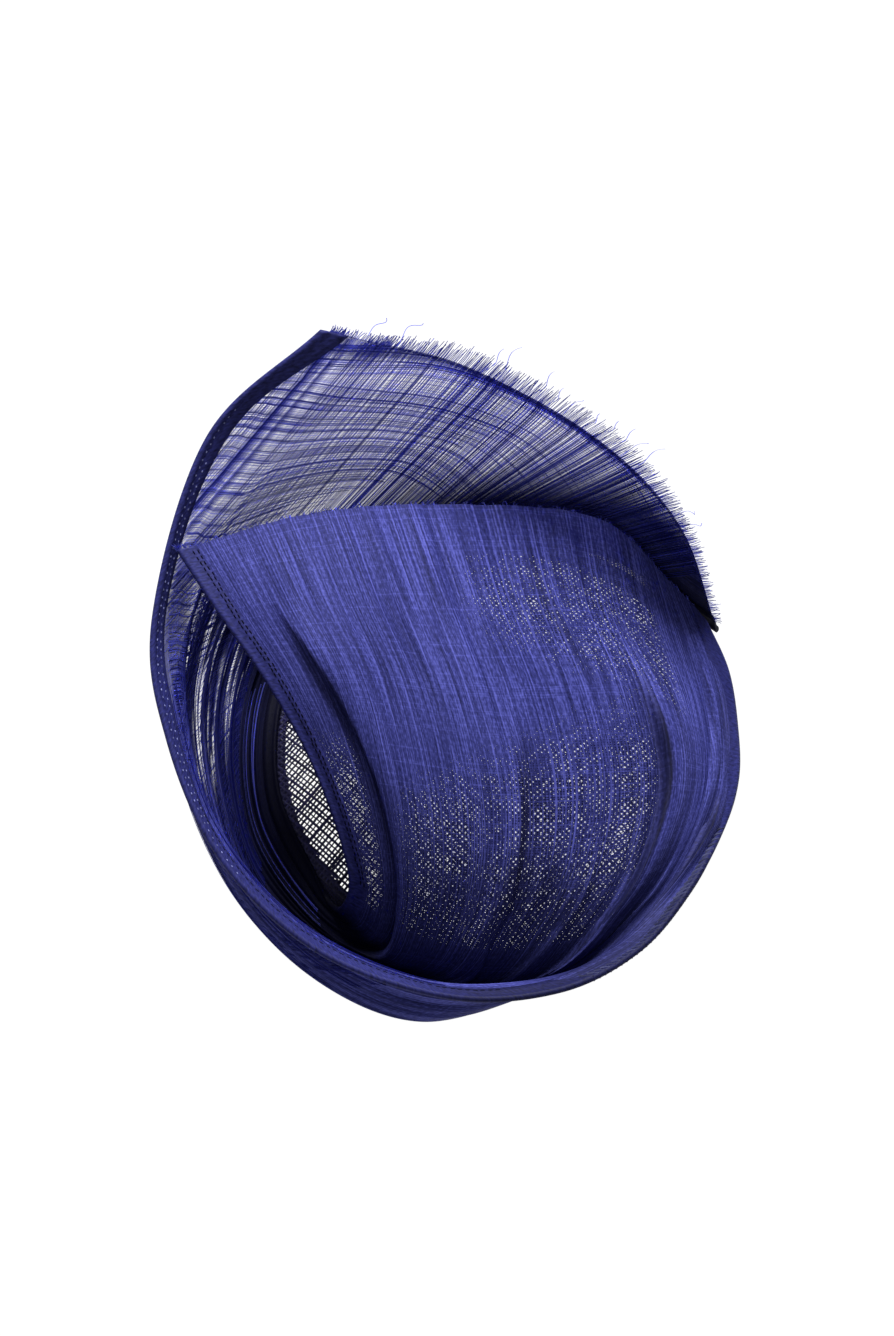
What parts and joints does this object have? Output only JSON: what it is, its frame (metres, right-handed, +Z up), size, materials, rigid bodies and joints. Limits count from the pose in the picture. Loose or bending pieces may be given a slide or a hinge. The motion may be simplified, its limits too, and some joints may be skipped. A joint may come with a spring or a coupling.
{
  "type": "swirled fascinator",
  "caption": "Swirled fascinator: a strip of open blue silk abaca with wired hems and a frayed end, gathered round a shallow domed sinamay base with a comb beneath.",
  "frame": {"origin": "under the middle of the bounding box, on the surface that the rim of the base stands on", "axes": "+Z up out of the dome of the base, +Y from the low front to the tall frayed sail behind, +X to the wearer's view right"},
  "size_m": [0.2242, 0.2536, 0.0964],
  "materials": {
    "sinamay": "open straw weave, stiffened, matt with a dry sheen",
    "silk_abaca": "sheer slubbed weave with a soft sheen",
    "hem_silk": "the same cloth turned three times over wire and stitched",
    "comb_plastic": "smooth clear moulded plastic"
  },
  "bodies": {
    "root": {"sinamay_base": "sinamay", "silk_swirl": "silk_abaca", "wired_hem_inner": "hem_silk", "wired_hem_outer": "hem_silk", "frayed_fringe": "silk_abaca", "hair_comb": "comb_plastic"}
  },
  "joints": []
}
